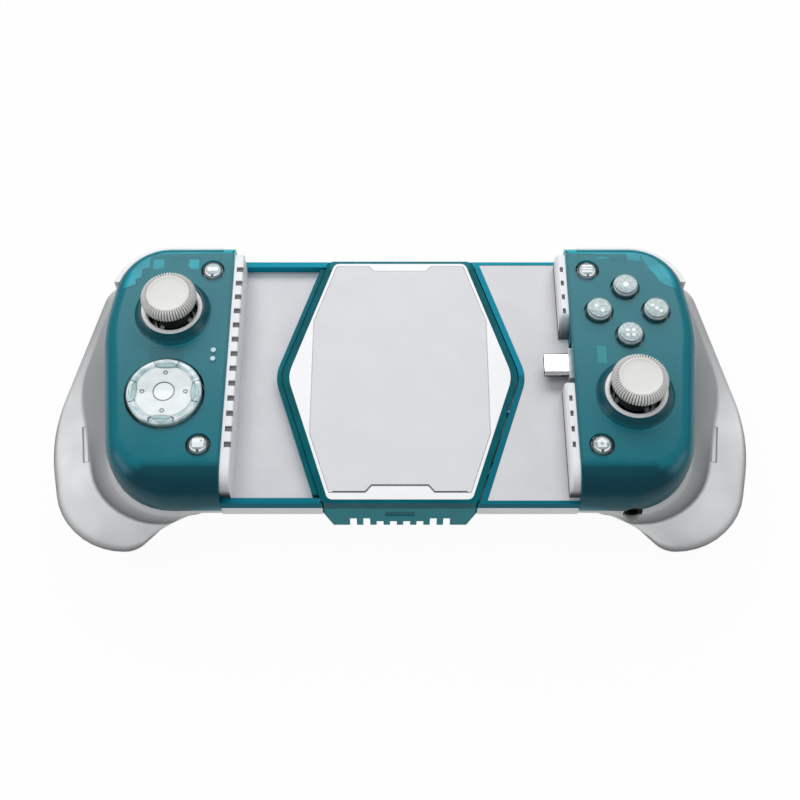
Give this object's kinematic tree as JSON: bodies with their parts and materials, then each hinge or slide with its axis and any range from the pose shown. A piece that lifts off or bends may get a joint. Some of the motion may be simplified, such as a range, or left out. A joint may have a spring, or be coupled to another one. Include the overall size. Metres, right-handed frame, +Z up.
{
  "type": "mobile game controller",
  "caption": "Telescopic phone controller with translucent hand pads, thumb sticks, a directional pad, face buttons, triggers and a tilting plug, on a sliding six-sided bridge.",
  "frame": {"origin": "centre of the bounding box on the surface that the grips stand on", "axes": "+X along the phone towards the plug half, +Y away from the player, +Z up"},
  "size_m": [0.2264, 0.108, 0.0595],
  "materials": {
    "teal_shell": "satin translucent",
    "frosted_shell": "frosted translucent",
    "white_plastic": "fine texture",
    "pad_grey": "matt",
    "stick_rubber": "matt",
    "clear_key": "clear gloss",
    "dark_plastic": "matt",
    "stick_core": "matt",
    "gear_plastic": "satin",
    "board": "solder mask",
    "silicone": "matt",
    "steel": "bright",
    "plug_metal": "plated",
    "ribbon": "film"
  },
  "bodies": {
    "bridge": {"bridge_frame": "teal_shell", "bridge_plate": "white_plastic", "phone_pad": "pad_grey", "bridge_base": "white_plastic", "bridge_screws": "steel"},
    "pinion": {"sync_pinion": "gear_plastic"},
    "left_half": {"left_front_shell": "teal_shell", "left_rear_shell": "frosted_shell", "left_slide_plate": "white_plastic", "left_tray_base": "white_plastic", "left_rail": "white_plastic", "left_stick_ring": "white_plastic", "left_stick_housing": "dark_plastic", "left_circuit_board": "board", "left_key_mat": "silicone", "dpad_base": "white_plastic", "left_pivot_pins": "steel", "left_trigger_spring": "steel", "status_lights": "white_plastic", "left_screws": "steel"},
    "right_half": {"right_front_shell": "teal_shell", "right_rear_shell": "frosted_shell", "right_tray": "white_plastic", "right_slide_plate": "white_plastic", "right_tray_base": "white_plastic", "right_rail": "white_plastic", "right_stick_ring": "white_plastic", "right_stick_housing": "dark_plastic", "right_circuit_board": "board", "right_key_mat": "silicone", "right_pivot_pins": "steel", "right_trigger_spring": "steel", "audio_jack": "dark_plastic", "right_screws": "steel", "return_springs": "steel", "link_ribbon": "ribbon"},
    "left_gimbal": {"left_stick_gimbal": "stick_core"},
    "left_yoke": {"left_stick_yoke": "stick_core"},
    "left_stick": {"left_stick_shaft": "stick_core", "left_stick_cap": "stick_rubber"},
    "dpad_hub": {"dpad_pivot": "white_plastic"},
    "dpad_key": {"dpad": "clear_key"},
    "menu_key": {"menu_button": "clear_key"},
    "capture_key": {"capture_button": "clear_key"},
    "left_bumper_key": {"left_bumper": "white_plastic"},
    "left_trigger_lever": {"left_trigger": "white_plastic"},
    "right_gimbal": {"right_stick_gimbal": "stick_core"},
    "right_yoke": {"right_stick_yoke": "stick_core"},
    "right_stick": {"right_stick_shaft": "stick_core", "right_stick_cap": "stick_rubber"},
    "north_key": {"face_button_north": "clear_key"},
    "south_key": {"face_button_south": "clear_key"},
    "east_key": {"face_button_east": "clear_key"},
    "west_key": {"face_button_west": "clear_key"},
    "options_key": {"options_button": "clear_key"},
    "home_key": {"home_button": "clear_key"},
    "right_bumper_key": {"right_bumper": "white_plastic"},
    "right_trigger_lever": {"right_trigger": "white_plastic"},
    "plug_tilt": {"usb_carrier": "clear_key", "usb_plug": "plug_metal"}
  },
  "joints": [
    {"name": "left_slide", "type": "slide", "parent": "bridge", "child": "left_half", "axis": [-1, 0, 0], "range_m": [0, 0.038], "stiffness_N_per_m": 60, "springref_m": -0.03, "deforming": ["return_springs", "link_ribbon"]},
    {"name": "right_slide", "type": "slide", "parent": "bridge", "child": "right_half", "axis": [1, 0, 0], "range_m": [0, 0.038]},
    {"name": "pinion_spin", "type": "hinge", "parent": "bridge", "child": "pinion", "pos_m": [0, 0, 0.0355], "axis": [0, 0, 1], "range_deg": [-365, 0]},
    {"name": "left_stick_tilt_x", "type": "hinge", "parent": "left_half", "child": "left_gimbal", "pos_m": [-0.0739, 0.0196, 0.0405], "axis": [1, 0, 0], "range_deg": [-16, 16], "stiffness_Nm_per_rad": 0.03},
    {"name": "left_stick_tilt_y", "type": "hinge", "parent": "left_gimbal", "child": "left_yoke", "pos_m": [-0.0739, 0.0196, 0.0405], "axis": [0, 1, 0], "range_deg": [-16, 16], "stiffness_Nm_per_rad": 0.03},
    {"name": "left_stick_click", "type": "slide", "parent": "left_yoke", "child": "left_stick", "axis": [0, 0, -1], "range_m": [0, 0.0005], "stiffness_N_per_m": 800, "springref_m": -0.0005},
    {"name": "right_stick_tilt_x", "type": "hinge", "parent": "right_half", "child": "right_gimbal", "pos_m": [0.0739, -0.0109, 0.0405], "axis": [1, 0, 0], "range_deg": [-16, 16], "stiffness_Nm_per_rad": 0.03},
    {"name": "right_stick_tilt_y", "type": "hinge", "parent": "right_gimbal", "child": "right_yoke", "pos_m": [0.0739, -0.0109, 0.0405], "axis": [0, 1, 0], "range_deg": [-16, 16], "stiffness_Nm_per_rad": 0.03},
    {"name": "right_stick_click", "type": "slide", "parent": "right_yoke", "child": "right_stick", "axis": [0, 0, -1], "range_m": [0, 0.0005], "stiffness_N_per_m": 800, "springref_m": -0.0005},
    {"name": "dpad_rock_x", "type": "hinge", "parent": "left_half", "child": "dpad_hub", "pos_m": [-0.0739, -0.0109, 0.046], "axis": [1, 0, 0], "range_deg": [-5, 5], "stiffness_Nm_per_rad": 0.03},
    {"name": "dpad_rock_y", "type": "hinge", "parent": "dpad_hub", "child": "dpad_key", "pos_m": [-0.0739, -0.0109, 0.046], "axis": [0, 1, 0], "range_deg": [-5, 5], "stiffness_Nm_per_rad": 0.03},
    {"name": "menu_press", "type": "slide", "parent": "left_half", "child": "menu_key", "axis": [0, 0, -1], "range_m": [0, 0.0007], "stiffness_N_per_m": 400, "springref_m": -0.0005},
    {"name": "capture_press", "type": "slide", "parent": "left_half", "child": "capture_key", "axis": [0, 0, -1], "range_m": [0, 0.0007], "stiffness_N_per_m": 400, "springref_m": -0.0005},
    {"name": "north_press", "type": "slide", "parent": "right_half", "child": "north_key", "axis": [0, 0, -1], "range_m": [0, 0.0015], "stiffness_N_per_m": 400, "springref_m": -0.0005},
    {"name": "south_press", "type": "slide", "parent": "right_half", "child": "south_key", "axis": [0, 0, -1], "range_m": [0, 0.0015], "stiffness_N_per_m": 400, "springref_m": -0.0005},
    {"name": "east_press", "type": "slide", "parent": "right_half", "child": "east_key", "axis": [0, 0, -1], "range_m": [0, 0.0015], "stiffness_N_per_m": 400, "springref_m": -0.0005},
    {"name": "west_press", "type": "slide", "parent": "right_half", "child": "west_key", "axis": [0, 0, -1], "range_m": [0, 0.0015], "stiffness_N_per_m": 400, "springref_m": -0.0005},
    {"name": "options_press", "type": "slide", "parent": "right_half", "child": "options_key", "axis": [0, 0, -1], "range_m": [0, 0.0007], "stiffness_N_per_m": 400, "springref_m": -0.0005},
    {"name": "home_press", "type": "slide", "parent": "right_half", "child": "home_key", "axis": [0, 0, -1], "range_m": [0, 0.0007], "stiffness_N_per_m": 400, "springref_m": -0.0005},
    {"name": "left_bumper_press", "type": "hinge", "parent": "left_half", "child": "left_bumper_key", "pos_m": [-0.0615, 0.0426, 0.042], "axis": [0, 0, 1], "range_deg": [0, 1.6], "stiffness_Nm_per_rad": 0.5, "springref_deg": -2.86},
    {"name": "left_trigger_pull", "type": "hinge", "parent": "left_half", "child": "left_trigger_lever", "pos_m": [-0.07775, 0.0385, 0.0335], "axis": [-1, 0, 0], "range_deg": [0, 16], "stiffness_Nm_per_rad": 0.08, "springref_deg": -11.46},
    {"name": "right_bumper_press", "type": "hinge", "parent": "right_half", "child": "right_bumper_key", "pos_m": [0.0615, 0.0426, 0.042], "axis": [0, 0, -1], "range_deg": [0, 1.6], "stiffness_Nm_per_rad": 0.5, "springref_deg": -2.86},
    {"name": "right_trigger_pull", "type": "hinge", "parent": "right_half", "child": "right_trigger_lever", "pos_m": [0.07775, 0.0385, 0.0335], "axis": [-1, 0, 0], "range_deg": [0, 16], "stiffness_Nm_per_rad": 0.08, "springref_deg": -11.46},
    {"name": "plug_tilt_up", "type": "hinge", "parent": "right_half", "child": "plug_tilt", "pos_m": [0.0605, 0.0019, 0.0444], "axis": [0, 1, 0], "range_deg": [0, 8], "stiffness_Nm_per_rad": 0.05, "springref_deg": -2.86}
  ],
  "couplings": [
    {"joint": "right_slide", "follows": "left_slide", "ratio": 1},
    {"joint": "pinion_spin", "follows": "left_slide", "rad_per_m": -166.67}
  ]
}
